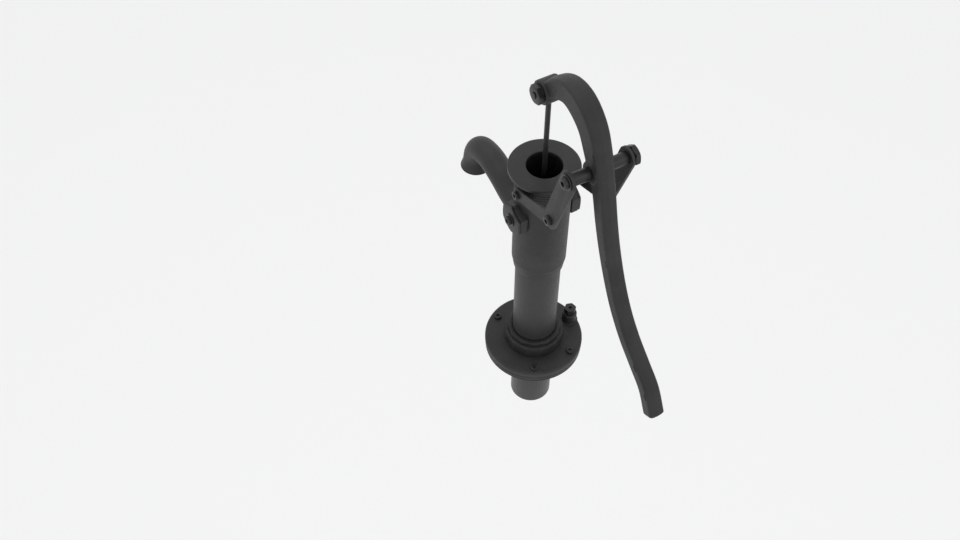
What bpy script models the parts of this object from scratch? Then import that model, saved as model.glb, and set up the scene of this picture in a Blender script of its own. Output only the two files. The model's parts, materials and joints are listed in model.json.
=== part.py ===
"""Hand well pump: a flanged stand with head, spout, lever handle, pump rod, plunger and foot valve.

Metres, +Z up. The pump's axis is Z, the handle reaches to +X and the spout to -X, and the
fulcrum pin lies along Y. The origin is the centre of the gasket's underside.
"""
import math

import bmesh
import bpy
from mathutils import Matrix, Vector

# ---- driving dimensions ---------------------------------------------------------------
GAP = 0.0003                 # clearance between neighbouring pieces
GASKET_T = 0.003
BASE_T = 0.0092                # plain ring between the gasket and the well flange
FLANGE_R = 0.102
FLANGE_T = 0.014
TOP = GASKET_T + GAP + BASE_T + GAP + FLANGE_T  # height of the flange's top face
BOLT_CIRCLE_R = 0.0865
BOLT_ANGLES = (-150.0, -30.0, 30.0, 150.0)
LUG_ANGLE = 88.0
LUG_R = 0.0155
LUG_H = 0.024

PIPE_R = 0.0431              # drop pipe
PIPE_BORE = 0.0362
PIPE_LENGTH = 0.195
TUBE_R = 0.0444              # pump tube, nominal three inch pipe
TUBE_BORE = 0.0386
TUBE_TOP = 0.262
LINER_BORE = 0.0360
HEAD_R = 0.0521
HEAD_BORE = 0.0440
SHOULDER_LOW = 0.243
SHOULDER_HIGH = 0.267
NECK_LOW = 0.452
CAP_LOW = 0.4980
CAP_HIGH = 0.5072
CAP_R = 0.0653
CAP_HOLE = 0.0327

BOSS_Z = 0.399               # hexagonal side bosses on the head
BOSS_FLAT = 0.0285
BOSS_FACE = 0.0610
PLUG_T = 0.0050

PLATE_IN = 0.0528            # fulcrum bracket plates, distance of their faces from the XZ plane
PLATE_OUT = 0.0578
UPPER_BOLT = (0.006, 0.466)
LOWER_BOLT = (0.110, 0.502)
FULCRUM = (0.152, 0.633)
FULCRUM_PIN_R = 0.0065

ROD_PIN_Z = 0.681            # rod pin at the handle's short end, on the pump's axis
ROD_PIN_R = 0.0052
ROD_R = 0.00475
BOSS_R = 0.0217
BOSS_HALF = 0.0180

YOKE_PIN_Z = 0.236           # crosshead pin between rod and plunger
PLUNGER_LOW = 0.150
SPOUT_R = 0.0258
SPOUT_WALL = 0.0035
MOUTH_R = 0.0314

HUB_HALF = 0.0182              # fulcrum hub of the handle and its bush
HUB_R = 0.0190
BUSH_R = 0.0094
END_CHAMFER = 0.004
EYE_R = 0.0110                 # eyes of the pump rod and the handle's slot round them
EYE_HALF = 0.0042
SLOT_HALF = 0.0056
CROSS_PIN_R = 0.0040
CROSS_PLAY = 0.0092

ROOT = bpy.data.collections.new("hand_well_pump")


# ---- helpers --------------------------------------------------------------------------
def clear_scene():
    for old in list(bpy.data.objects):
        bpy.data.objects.remove(old, do_unlink=True)
    bpy.context.scene.collection.children.link(ROOT)


def make_material(name, colour, roughness, metallic):
    material = bpy.data.materials.new(name)
    material.use_nodes = True
    shader = material.node_tree.nodes["Principled BSDF"]
    shader.inputs["Base Color"].default_value = (*colour, 1.0)
    shader.inputs["Roughness"].default_value = roughness
    shader.inputs["Metallic"].default_value = metallic
    material.diffuse_color = (*colour, 1.0)
    return material


FINISHES = {
    "cast_iron": ((0.045, 0.046, 0.048), 0.55, 0.6),
    "steel": ((0.060, 0.061, 0.064), 0.45, 0.8),
    "rubber": ((0.020, 0.020, 0.020), 0.85, 0.0),
    "leather": ((0.110, 0.060, 0.030), 0.75, 0.0),
    "brass": ((0.450, 0.320, 0.120), 0.35, 0.9),
}


def finish_of(name, kind):
    colour, roughness, metallic = FINISHES[kind]
    return make_material(name, colour, roughness, metallic)


def add_object(name, bm, kind, origin=(0.0, 0.0, 0.0), parent=None):
    """Store bm, given in world space, as one named object with its origin at the given point."""
    bmesh.ops.recalc_face_normals(bm, faces=bm.faces)
    bmesh.ops.translate(bm, vec=-Vector(origin), verts=bm.verts)
    mesh = bpy.data.meshes.new(name)
    bm.to_mesh(mesh)
    bm.free()
    mesh.shade_smooth()
    mesh.set_sharp_from_angle(angle=math.radians(35.0))
    obj = bpy.data.objects.new(name, mesh)
    ROOT.objects.link(obj)
    obj.location = origin
    if kind:
        mesh.materials.append(finish_of(name, kind))
    if parent:
        obj.location = Vector(origin) - parent.location
        obj.parent = parent
    return obj


def add_helper(name, bm):
    """A shape that only cuts or joins another one."""
    obj = add_object(name, bm, None)
    obj.hide_render = True
    obj.display_type = "WIRE"
    return obj


def add_pivot(name, place):
    pivot = bpy.data.objects.new(name, None)
    ROOT.objects.link(pivot)
    pivot.location = place
    return pivot


def combine(target, helper, operation):
    step = target.modifiers.new(helper.name, "BOOLEAN")
    step.operation = operation
    step.solver = "EXACT"
    step.object = helper


def height(z):
    """World height of a level given above the flange's top face."""
    return TOP + z


def turned(profile, segments, centre=(0.0, 0.0, 0.0), along="Z", phase=0.0):
    """Closed solid of revolution. The profile is a closed outline of (radius, position) points."""
    bm = bmesh.new()
    rings = []
    for radius, position in profile:
        if radius < 1e-7:
            rings.append([bm.verts.new((0.0, 0.0, position))])
            continue
        ring = []
        for step in range(segments):
            angle = 2.0 * math.pi * (step + phase) / segments
            ring.append(bm.verts.new((radius * math.cos(angle), radius * math.sin(angle), position)))
        rings.append(ring)
    count = len(rings)
    for index in range(count):
        ring, following = rings[index], rings[(index + 1) % count]
        if len(ring) == 1 and len(following) == 1:
            continue
        for step in range(segments):
            after = (step + 1) % segments
            if len(ring) == 1:
                bm.faces.new((ring[0], following[step], following[after]))
            elif len(following) == 1:
                bm.faces.new((ring[step], ring[after], following[0]))
            else:
                bm.faces.new((ring[step], ring[after], following[after], following[step]))
    turn_and_place(bm, along, centre)
    return bm


def turn_and_place(bm, along, centre):
    turns = {
        "Z": Matrix.Identity(4),
        "Y": Matrix.Rotation(-math.pi / 2.0, 4, "X"),
        "-Y": Matrix.Rotation(math.pi / 2.0, 4, "X"),
        "X": Matrix.Rotation(math.pi / 2.0, 4, "Y"),
        "-X": Matrix.Rotation(-math.pi / 2.0, 4, "Y"),
    }
    bm.transform(Matrix.Translation(centre) @ turns[along])


def rod(radius, low, high, segments, centre=(0.0, 0.0, 0.0), along="Z", phase=0.0, edge=0.0):
    """Solid bar with chamfered ends between two positions along its axis."""
    if edge > 0.0:
        profile = [(0.0, low), (radius - edge, low), (radius, low + edge)]
        profile += [(radius, high - edge), (radius - edge, high), (0.0, high)]
    else:
        profile = [(0.0, low), (radius, low), (radius, high), (0.0, high)]
    return turned(profile, segments, centre, along, phase)


def sleeve(inner, outer, low, high, segments, centre=(0.0, 0.0, 0.0), along="Z", edge=0.0):
    profile = [(inner, low), (outer - edge, low), (outer, low + edge)]
    profile += [(outer, high - edge), (outer - edge, high), (inner, high)]
    if edge == 0.0:
        profile = [(inner, low), (outer, low), (outer, high), (inner, high)]
    return turned(profile, segments, centre, along)


def block(low, high):
    bm = bmesh.new()
    bmesh.ops.create_cube(bm, size=1.0)
    size = Vector(high) - Vector(low)
    bmesh.ops.scale(bm, vec=size, verts=bm.verts)
    bmesh.ops.translate(bm, vec=(Vector(high) + Vector(low)) / 2.0, verts=bm.verts)
    return bm


def sided_nut(sides, corner, bore, low, high, centre, along, phase=0.0, edge=0.0012, segments=12):
    """Many-sided ring with chamfered edges round a round bore."""
    sector = 2.0 * math.pi / sides
    bm = bmesh.new()
    loops = []
    levels = [(bore, low, False), (corner - edge, low, True), (corner, low + edge, True)]
    levels += [(corner, high - edge, True), (corner - edge, high, True), (bore, high, False)]
    for size, position, has_sides in levels:
        loop = []
        for step in range(segments):
            angle = 2.0 * math.pi * step / segments
            radius = size
            if has_sides:
                within = angle % sector - sector / 2.0
                radius = size * math.cos(sector / 2.0) / math.cos(within)
            turn = angle + phase
            loop.append(bm.verts.new((radius * math.cos(turn), radius * math.sin(turn), position)))
        loops.append(loop)
    count = len(loops)
    for index in range(count):
        loop, following = loops[index], loops[(index + 1) % count]
        for step in range(segments):
            after = (step + 1) % segments
            bm.faces.new((loop[step], loop[after], following[after], following[step]))
    turn_and_place(bm, along, centre)
    return bm


def hex_nut(corner, bore, low, high, centre, along, phase=0.0, edge=0.0012):
    return sided_nut(6, corner, bore, low, high, centre, along, phase, edge)


def socket_bolt(name, head_r, head_t, shank_r, shank_length, centre, along, kind="steel", parent=None):
    """Round-headed bolt with a blind socket. The head stands outwards along its axis from centre."""
    socket_r = head_r * 0.5
    socket_depth = head_t * 0.6
    edge = head_r * 0.12
    profile = [(0.0, -shank_length), (shank_r, -shank_length), (shank_r, 0.0), (head_r, 0.0)]
    profile += [(head_r, head_t - edge), (head_r - edge, head_t), (socket_r, head_t)]
    profile += [(socket_r, head_t - socket_depth), (0.0, head_t - socket_depth)]
    return add_object(name, turned(profile, 12, centre, along), kind, centre, parent)


def smooth_path(points, per_span):
    """Catmull-Rom curve through points of any dimension."""
    ends = [2 * points[0] - points[1]] + list(points) + [2 * points[-1] - points[-2]]
    path = []
    for index in range(1, len(ends) - 2):
        before, start, end, after = ends[index - 1:index + 3]
        for step in range(per_span):
            t = step / per_span
            path.append(0.5 * (2 * start + (end - before) * t
                               + (2 * before - 5 * start + 4 * end - after) * t * t
                               + (3 * start - before - 3 * end + after) * t * t * t))
    path.append(points[-1].copy())
    return path


def swept(path, section):
    """Closed solid along a path in the XZ plane. section(index) gives (sideways, outward) points."""
    bm = bmesh.new()
    loops = []
    for index, place in enumerate(path):
        ahead = path[min(index + 1, len(path) - 1)]
        behind = path[max(index - 1, 0)]
        tangent = Vector((ahead[0] - behind[0], 0.0, ahead[1] - behind[1])).normalized()
        outward = Vector((-tangent.z, 0.0, tangent.x))
        centre = Vector((place[0], 0.0, place[1]))
        loops.append([bm.verts.new(centre + Vector((0.0, side, 0.0)) + outward * out)
                      for side, out in section(index)])
    for loop, following in zip(loops, loops[1:]):
        for step in range(len(loop)):
            after = (step + 1) % len(loop)
            bm.faces.new((loop[step], loop[after], following[after], following[step]))
    bm.faces.new(loops[0])
    bm.faces.new(loops[-1])
    return bm


def plate(outline, low, high):
    """Plate with an outline of (x, z) points between two positions along Y."""
    bm = bmesh.new()
    near = [bm.verts.new((x, low, z)) for x, z in outline]
    far = [bm.verts.new((x, high, z)) for x, z in outline]
    bm.faces.new(near)
    bm.faces.new(far)
    for step in range(len(outline)):
        after = (step + 1) % len(outline)
        bm.faces.new((near[step], near[after], far[after], far[step]))
    return bm


# ---- stand: gasket, flange, pipes and locknuts ------------------------------------------
def on_circle(angle, radius, z=0.0):
    turn = math.radians(angle)
    return Vector((radius * math.cos(turn), radius * math.sin(turn), z))


def build_flange():
    bolt_r = 0.0045
    gasket = add_object("flange_gasket", sleeve(PIPE_R + GAP, FLANGE_R - 0.001, 0.0, GASKET_T, 40), "rubber")
    base_low = GASKET_T + GAP
    base = sleeve(PIPE_R + GAP, FLANGE_R - 0.0006, base_low, base_low + BASE_T, 40, edge=0.0012)
    ring = add_object("base_ring", base, "cast_iron")
    low = base_low + BASE_T + GAP
    edge = 0.0025
    profile = [(PIPE_R + GAP, low), (FLANGE_R - 0.001, low), (FLANGE_R, low + 0.001)]
    profile += [(FLANGE_R, TOP - edge), (FLANGE_R - edge * 0.4, TOP - edge * 0.4), (FLANGE_R - edge, TOP)]
    profile += [(PIPE_R + GAP, TOP)]
    flange = add_object("well_flange", turned(profile, 40), "cast_iron")
    lug_place = on_circle(LUG_ANGLE, BOLT_CIRCLE_R)
    lug_profile = [(0.0, low + 0.004), (LUG_R, low + 0.004), (LUG_R, height(LUG_H) - 0.002)]
    lug_profile += [(LUG_R - 0.002, height(LUG_H)), (0.0, height(LUG_H))]
    combine(flange, add_helper("lug_shape", turned(lug_profile, 24, lug_place)), "UNION")
    plug_hole = rod(0.0062, height(0.004), height(LUG_H + 0.01), 16, lug_place)
    combine(flange, add_helper("lug_hole", plug_hole), "DIFFERENCE")
    for number, angle in enumerate(BOLT_ANGLES, start=1):
        place = on_circle(angle, BOLT_CIRCLE_R)
        cutter = add_helper(f"flange_hole_{number}", rod(bolt_r + GAP, -0.01, TOP + 0.01, 16, place))
        combine(flange, cutter, "DIFFERENCE")
        combine(ring, cutter, "DIFFERENCE")
        combine(gasket, cutter, "DIFFERENCE")
    for number, angle in enumerate(BOLT_ANGLES, start=1):
        place = on_circle(angle, BOLT_CIRCLE_R, TOP + GAP)
        socket_bolt(f"flange_bolt_{number}", 0.0078, 0.0045, bolt_r, TOP - 0.0005, place, "Z")
    washer_low = height(LUG_H) + GAP
    add_object("vent_washer", sleeve(0.0060, 0.0135, washer_low, washer_low + 0.0022, 20, lug_place), "steel")
    head_low = washer_low + 0.0022 + GAP
    plug = hex_nut(0.0128, 0.0030, head_low, head_low + 0.0125, lug_place, "Z", 0.2)
    vent = add_object("vent_plug", plug, "steel")
    stem = rod(0.0056, height(0.006), head_low + 0.008, 16, lug_place)
    combine(vent, add_helper("vent_stem", stem), "UNION")


def build_pipes():
    edge = 0.001
    drop_low = height(-PIPE_LENGTH)
    profile = [(PIPE_BORE, drop_low), (PIPE_R - edge, drop_low), (PIPE_R, drop_low + edge)]
    profile += [(PIPE_R, TOP - 0.001), (PIPE_BORE, TOP - 0.001)]
    add_object("drop_pipe", turned(profile, 32), "steel")
    add_object("pump_tube", sleeve(TUBE_BORE, TUBE_R, height(GAP), height(TUBE_TOP), 32), "steel")
    liner_r = TUBE_BORE - GAP
    add_object("barrel_liner", sleeve(LINER_BORE, liner_r, height(0.0096), height(0.258), 28), "brass")


def build_locknuts():
    inner = TUBE_R + 2.0 * GAP
    sides = 12
    axis = (0.0, 0.0, 0.0)
    lower_r, lower_top = 0.0610, 0.0290
    upper_r, upper_top = 0.0545, 0.0395
    nut = sided_nut(sides, lower_r, inner, height(GAP), height(lower_top), axis, "Z", 0.26, 0.0028, 24)
    add_object("flange_locknut", nut, "cast_iron")
    nut = sided_nut(sides, upper_r, inner, height(lower_top + GAP), height(upper_top), axis, "Z", 0.0, 0.0022, 24)
    add_object("jam_nut", nut, "cast_iron")


# ---- head: casting, cap, spout and side plugs --------------------------------------------
def hex_outline(flat, centre_z):
    corner = flat / math.cos(math.pi / 6.0)
    points = []
    for step in range(6):
        angle = math.pi / 6.0 + step * math.pi / 3.0
        points.append((corner * math.cos(angle), centre_z + corner * math.sin(angle)))
    return points


def build_head():
    inner = TUBE_R + GAP
    profile = [(inner, height(SHOULDER_LOW)), (inner + 0.0035, height(SHOULDER_LOW))]
    profile += [(HEAD_R - 0.0012, height(SHOULDER_HIGH - 0.004)), (HEAD_R, height(SHOULDER_HIGH))]
    profile += [(HEAD_R, height(NECK_LOW)), (HEAD_R - 0.0015, height(NECK_LOW + 0.0015))]
    profile += [(HEAD_R - 0.0015, height(CAP_LOW - GAP)), (HEAD_BORE, height(CAP_LOW - GAP))]
    profile += [(HEAD_BORE, height(TUBE_TOP + GAP)), (inner, height(TUBE_TOP + GAP))]
    head = add_object("pump_head", turned(profile, 32), "cast_iron")
    for side, name in ((-1, "near"), (1, "far")):
        low, high = sorted((side * (HEAD_BORE + 0.0025), side * BOSS_FACE))
        boss = add_helper(f"side_boss_{name}", plate(hex_outline(BOSS_FLAT, height(BOSS_Z)), low, high))
        combine(head, boss, "UNION")
        low, high = sorted((side * 0.035, side * 0.07))
        hole = rod(0.0048, low, high, 16, (0.0, 0.0, height(BOSS_Z)), "Y")
        combine(head, add_helper(f"side_hole_{name}", hole), "DIFFERENCE")
        hole = rod(0.0043, low, high, 16, (UPPER_BOLT[0], 0.0, height(UPPER_BOLT[1])), "Y")
        combine(head, add_helper(f"bracket_hole_{name}", hole), "DIFFERENCE")
    socket_z = height(SPOUT_PATH[0][1])
    socket = rod(SPOUT_R + 0.0055, HEAD_BORE + 0.003, -SPOUT_PATH[0][0] - GAP, 24, (0.0, 0.0, socket_z), "-X",
                 edge=0.002)
    combine(head, add_helper("spout_socket", socket), "UNION")
    port = rod(SPOUT_R - SPOUT_WALL, 0.02, 0.10, 20, (0.0, 0.0, socket_z), "-X")
    combine(head, add_helper("spout_port", port), "DIFFERENCE")
    for side, name, along in ((-1, "near", "-Y"), (1, "far", "Y")):
        add_side_plug(side, name, along)


def add_side_plug(side, name, along):
    low = BOSS_FACE + GAP
    centre = (0.0, 0.0, height(BOSS_Z))
    corner = (BOSS_FLAT - 0.001) / math.cos(math.pi / 6.0)
    plug = hex_nut(corner, 0.0048, low, low + PLUG_T, centre, along, math.pi / 6.0, 0.0010)
    add_object(f"side_plate_{name}", plug, "cast_iron")
    washer_low = low + PLUG_T + GAP
    ring = sleeve(0.0048, 0.0125, washer_low, washer_low + 0.0018, 16, centre, along)
    add_object(f"side_washer_{name}", ring, "steel")
    head_low = washer_low + 0.0018 + GAP
    place = (0.0, side * head_low, height(BOSS_Z))
    socket_bolt(f"side_bolt_{name}", 0.0085, 0.0055, 0.0045, head_low - HEAD_BORE - 0.001, place, along)


def build_cap():
    profile = [(CAP_HOLE, height(CAP_LOW)), (CAP_R - 0.001, height(CAP_LOW))]
    profile += [(CAP_R, height(CAP_LOW + 0.001)), (CAP_R, height(CAP_HIGH - 0.0022))]
    profile += [(CAP_R - 0.0007, height(CAP_HIGH - 0.0007)), (CAP_R - 0.0022, height(CAP_HIGH))]
    profile += [(CAP_HOLE + 0.001, height(CAP_HIGH)), (CAP_HOLE, height(CAP_HIGH - 0.001))]
    add_object("head_cap", turned(profile, 36), "cast_iron")


# centre line of the spout, (x, height above the flange's top), from the head to the mouth
SPOUT_PATH = [Vector(point) for point in (
    (-0.0760, 0.3320), (-0.1050, 0.3370), (-0.1450, 0.3510), (-0.1850, 0.3590),
    (-0.2235, 0.3505), (-0.2435, 0.3235), (-0.2470, 0.2880))]


def build_spout():
    path = smooth_path(SPOUT_PATH, 2)
    sides = 16
    last = len(path) - 1
    bm = bmesh.new()
    shells = []
    for inset in (0.0, SPOUT_WALL):
        loops = []
        for index, place in enumerate(path):
            ahead = path[min(index + 1, last)]
            behind = path[max(index - 1, 0)]
            tangent = Vector((ahead[0] - behind[0], 0.0, ahead[1] - behind[1])).normalized()
            if index == 0:
                tangent = Vector((-1.0, 0.0, 0.0))
            if index == last:
                tangent = Vector((0.0, 0.0, -1.0))
            outward = Vector((-tangent.z, 0.0, tangent.x))
            flare = max(0.0, (index - (last - 2)) / 2.0)
            radius = SPOUT_R + (MOUTH_R - SPOUT_R) * flare ** 2 - inset
            centre = Vector((place[0], 0.0, height(place[1])))
            loop = []
            for step in range(sides):
                angle = 2.0 * math.pi * step / sides
                offset = Vector((0.0, math.cos(angle), 0.0)) + outward * math.sin(angle)
                loop.append(bm.verts.new(centre + offset * radius))
            loops.append(loop)
        for loop, following in zip(loops, loops[1:]):
            for step in range(sides):
                after = (step + 1) % sides
                bm.faces.new((loop[step], loop[after], following[after], following[step]))
        shells.append(loops)
    for end in (0, -1):
        outer, inner = shells[0][end], shells[1][end]
        for step in range(sides):
            after = (step + 1) % sides
            bm.faces.new((outer[step], outer[after], inner[after], inner[step]))
    add_object("spout", bm, "cast_iron")


# ---- fulcrum bracket ----------------------------------------------------------------------
def arc_points(centre, radius, start, end, steps):
    points = []
    for step in range(steps + 1):
        angle = math.radians(start + (end - start) * step / steps)
        points.append((centre[0] + radius * math.cos(angle), centre[1] + radius * math.sin(angle)))
    return points


def bar_outline(first, first_r, second, second_r):
    """Outline of a flat bar with round ends of two sizes."""
    run = Vector(second) - Vector(first)
    heading = math.degrees(math.atan2(run.y, run.x))
    slope = math.degrees(math.acos((first_r - second_r) / run.length))
    outline = arc_points(second, second_r, heading - slope, heading + slope, 6)
    outline += arc_points(first, first_r, heading + slope, heading + 360.0 - slope, 6)
    return outline


def build_brackets():
    upper = (UPPER_BOLT[0], height(UPPER_BOLT[1]))
    lower = (LOWER_BOLT[0], height(LOWER_BOLT[1]))
    fulcrum = (FULCRUM[0], height(FULCRUM[1]))
    for side, name, along in ((-1, "near", "-Y"), (1, "far", "Y")):
        low, high = sorted((side * PLATE_IN, side * PLATE_OUT))
        arm = plate(bar_outline(lower, 0.0175, fulcrum, 0.0190), low, high)
        bracket = add_object(f"fulcrum_bracket_{name}", arm, "cast_iron")
        strut = add_helper(f"strut_{name}", plate(bar_outline(upper, 0.0125, lower, 0.0150), low, high))
        combine(bracket, strut, "UNION")
        for label, place, radius in (("upper", upper, 0.0043), ("lower", lower, 0.0043),
                                     ("pin", fulcrum, FULCRUM_PIN_R + GAP)):
            cut = rod(radius, low - 0.01, high + 0.01, 16, (place[0], 0.0, place[1]), "Y")
            combine(bracket, add_helper(f"{label}_cut_{name}", cut), "DIFFERENCE")
        face = side * (PLATE_OUT + GAP)
        socket_bolt(f"upper_bolt_{name}", 0.0082, 0.0060, 0.0040, 0.0120, (upper[0], face, upper[1]), along)
        socket_bolt(f"lower_bolt_{name}", 0.0090, 0.0065, 0.0040, 0.0130, (lower[0], face, lower[1]), along)
        nut_high = PLATE_IN - GAP
        nut = hex_nut(0.0085, 0.0043, nut_high - 0.006, nut_high, (lower[0], 0.0, lower[1]), along)
        add_object(f"lower_nut_{name}", nut, "steel")


def build_fulcrum():
    place = (FULCRUM[0], 0.0, height(FULCRUM[1]))
    spacer_in = HUB_HALF + 0.0006
    washer_low = PLATE_OUT + GAP
    washer_high = washer_low + 0.0025
    for name, along in (("near", "-Y"), ("far", "Y")):
        spacer = sleeve(FULCRUM_PIN_R + GAP, 0.0112, spacer_in, PLATE_IN - GAP, 16, place, along)
        add_object(f"fulcrum_spacer_{name}", spacer, "steel", place)
        washer = sleeve(FULCRUM_PIN_R + GAP, 0.0150, washer_low, washer_high, 16, place, along)
        add_object(f"fulcrum_washer_{name}", washer, "steel", place)
    nut_low = washer_high + GAP
    nut = hex_nut(0.0185, FULCRUM_PIN_R + GAP, nut_low, nut_low + 0.0095, place, "Y", 0.35)
    add_object("fulcrum_nut", nut, "steel", place)
    head_place = (place[0], -(washer_high + GAP), place[2])
    shank = washer_high + GAP + nut_low + 0.0115
    socket_bolt("fulcrum_pin", 0.0105, 0.0060, FULCRUM_PIN_R, shank, head_place, "-Y")


# ---- handle -------------------------------------------------------------------------------
# stations along the handle: x, height above the flange's top, width along Y, depth
HANDLE_STATIONS = [Vector(station) for station in (
    (0.0080, 0.6860, 0.0300, 0.0300), (0.0330, 0.7130, 0.0330, 0.0360), (0.0640, 0.7280, 0.0350, 0.0400),
    (0.0960, 0.7240, 0.0365, 0.0430), (0.1260, 0.7020, 0.0360, 0.0410), (0.1460, 0.6670, 0.0350, 0.0380),
    (0.1630, 0.6260, 0.0325, 0.0340), (0.1745, 0.5980, 0.0310, 0.0300), (0.1900, 0.5440, 0.0308, 0.0285),
    (0.2080, 0.4920, 0.0303, 0.0275), (0.2332, 0.4349, 0.0298, 0.0270), (0.2603, 0.3881, 0.0298, 0.0265),
    (0.2934, 0.3480, 0.0298, 0.0265), (0.3320, 0.3140, 0.0298, 0.0265), (0.3640, 0.2850, 0.0300, 0.0265),
    (0.3885, 0.2410, 0.0303, 0.0265))]


def handle_section(station, scale=1.0):
    """Rounded rectangle, three points to a corner."""
    half_w = station[2] / 2.0
    half_t = station[3] / 2.0
    corner = 0.0055
    points = []
    for quarter in range(4):
        sign_w = (1, -1, -1, 1)[quarter]
        sign_t = (1, 1, -1, -1)[quarter]
        for step in range(3):
            angle = math.radians(90.0 * quarter + 45.0 * step)
            points.append(((sign_w * (half_w - corner) + corner * math.cos(angle)) * scale,
                           (sign_t * (half_t - corner) + corner * math.sin(angle)) * scale))
    return points


def build_handle(pivot):
    stations = smooth_path(HANDLE_STATIONS, 2)
    heading = (stations[-1] - stations[-2])
    heading = Vector((heading[0], heading[1])).normalized()
    tail = stations[-1].copy()
    tail[0] += heading[0] * END_CHAMFER
    tail[1] += heading[1] * END_CHAMFER
    stations.append(tail)
    path = [Vector((station[0], height(station[1]))) for station in stations]
    scales = [1.0] * (len(stations) - 1) + [0.72]
    body = swept(path, lambda index: handle_section(stations[index], scales[index]))
    handle = add_object("handle", body, "cast_iron", pivot.location, pivot)
    rod_place = (0.0, 0.0, height(ROD_PIN_Z))
    boss = rod(BOSS_R, -BOSS_HALF, BOSS_HALF, 24, rod_place, "Y", edge=0.0015)
    combine(handle, add_helper("rod_boss", boss), "UNION")
    hub_place = (FULCRUM[0], 0.0, height(FULCRUM[1]))
    hub = rod(HUB_R, -HUB_HALF, HUB_HALF, 20, hub_place, "Y", edge=0.0012)
    combine(handle, add_helper("fulcrum_hub", hub), "UNION")
    hub_bore = rod(BUSH_R + GAP, -0.03, 0.03, 24, hub_place, "Y")
    combine(handle, add_helper("hub_bore", hub_bore), "DIFFERENCE")
    pin_bore = rod(ROD_PIN_R + GAP, -0.03, 0.03, 20, rod_place, "Y")
    combine(handle, add_helper("pin_bore", pin_bore), "DIFFERENCE")
    combine(handle, add_helper("rod_slot", rod_slot()), "DIFFERENCE")
    bush = sleeve(FULCRUM_PIN_R + 0.00015, BUSH_R, -HUB_HALF, HUB_HALF, 20, hub_place, "Y")
    add_object("handle_bush", bush, "brass", pivot.location, pivot)
    add_rod_pin(pivot, rod_place)


def rod_slot():
    """Slot in the handle's end for the rod's eye, open downwards through the handle's swing."""
    reach = 0.034
    eye_clear = EYE_R + 0.0012
    centre = (0.0, height(ROD_PIN_Z))
    outline = arc_points(centre, eye_clear, 0.0, 185.0, 10)
    outline += [(-reach, centre[1] - eye_clear * 0.1), (-reach, centre[1] - reach * 0.80)]
    outline += [(-eye_clear * 0.6, centre[1] - reach), (eye_clear, centre[1] - reach)]
    return plate(outline, -SLOT_HALF, SLOT_HALF)


def add_rod_pin(pivot, rod_place):
    washer_low = BOSS_HALF + GAP
    washer_high = washer_low + 0.0022
    for name, along in (("near", "-Y"), ("far", "Y")):
        washer = sleeve(ROD_PIN_R + GAP, 0.0160, washer_low, washer_high, 16, rod_place, along)
        add_object(f"rod_pin_washer_{name}", washer, "steel", rod_place, pivot)
    nut_low = washer_high + GAP
    nut = hex_nut(0.0180, ROD_PIN_R + GAP, nut_low, nut_low + 0.0080, rod_place, "-Y", 0.25)
    add_object("rod_pin_nut", nut, "steel", rod_place, pivot)
    head_place = (rod_place[0], nut_low, rod_place[2])
    shank = 2.0 * nut_low + 0.0100
    socket_bolt("rod_pin", 0.0140, 0.0080, ROD_PIN_R, shank, head_place, "Y", parent=pivot)


# ---- rod, plunger and valves ---------------------------------------------------------------
def build_rod(pivot):
    """Rod with a round eye on the rod pin and a slotted eye on the crosshead pin."""
    top = height(ROD_PIN_Z)
    foot = height(YOKE_PIN_Z)
    eye = rod(EYE_R, -EYE_HALF, EYE_HALF, 24, (0.0, 0.0, top), "Y")
    bar = add_object("pump_rod", eye, "steel", pivot.location, pivot)
    shaft = add_helper("rod_shaft", rod(ROD_R, foot + 0.0085, top - 0.0070, 20))
    combine(bar, shaft, "UNION")
    slot_r = CROSS_PIN_R + 0.0010
    rim = 0.0048
    outline = arc_points((CROSS_PLAY, foot), slot_r + rim, -90.0, 90.0, 8)
    outline += arc_points((-CROSS_PLAY, foot), slot_r + rim, 90.0, 270.0, 8)
    combine(bar, add_helper("rod_foot", plate(outline, -EYE_HALF, EYE_HALF)), "UNION")
    outline = arc_points((CROSS_PLAY, foot), slot_r, -90.0, 90.0, 8)
    outline += arc_points((-CROSS_PLAY, foot), slot_r, 90.0, 270.0, 8)
    combine(bar, add_helper("rod_foot_slot", plate(outline, -0.02, 0.02)), "DIFFERENCE")
    hole = rod(ROD_PIN_R + 0.00006, -0.02, 0.02, 24, (0.0, 0.0, top), "Y")
    combine(bar, add_helper("rod_eye_hole", hole), "DIFFERENCE")


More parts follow.
